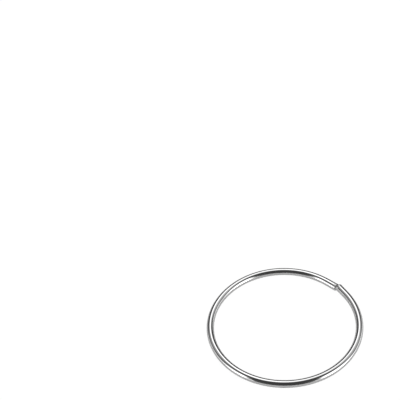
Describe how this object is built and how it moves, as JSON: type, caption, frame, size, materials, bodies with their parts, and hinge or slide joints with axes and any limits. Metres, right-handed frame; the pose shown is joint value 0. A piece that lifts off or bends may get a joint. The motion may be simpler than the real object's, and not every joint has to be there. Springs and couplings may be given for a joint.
{
  "type": "welded o-ring",
  "caption": "Round ring of bright plated steel wire, bent to a circle and closed with a butt weld, for linking straps, cords and hooks.",
  "frame": {"origin": "centre of the ring, on the surface that it lies on", "axes": "+Z along the ring's axis, upwards; +X and +Y in the plane of the ring, with the weld 41.7 degrees from +X towards +Y"},
  "size_m": [0.063, 0.0628, 0.0031],
  "materials": {
    "plated_wire": "bright nickel plate on drawn steel wire"
  },
  "bodies": {
    "root": {"ring": "plated_wire"}
  },
  "joints": []
}
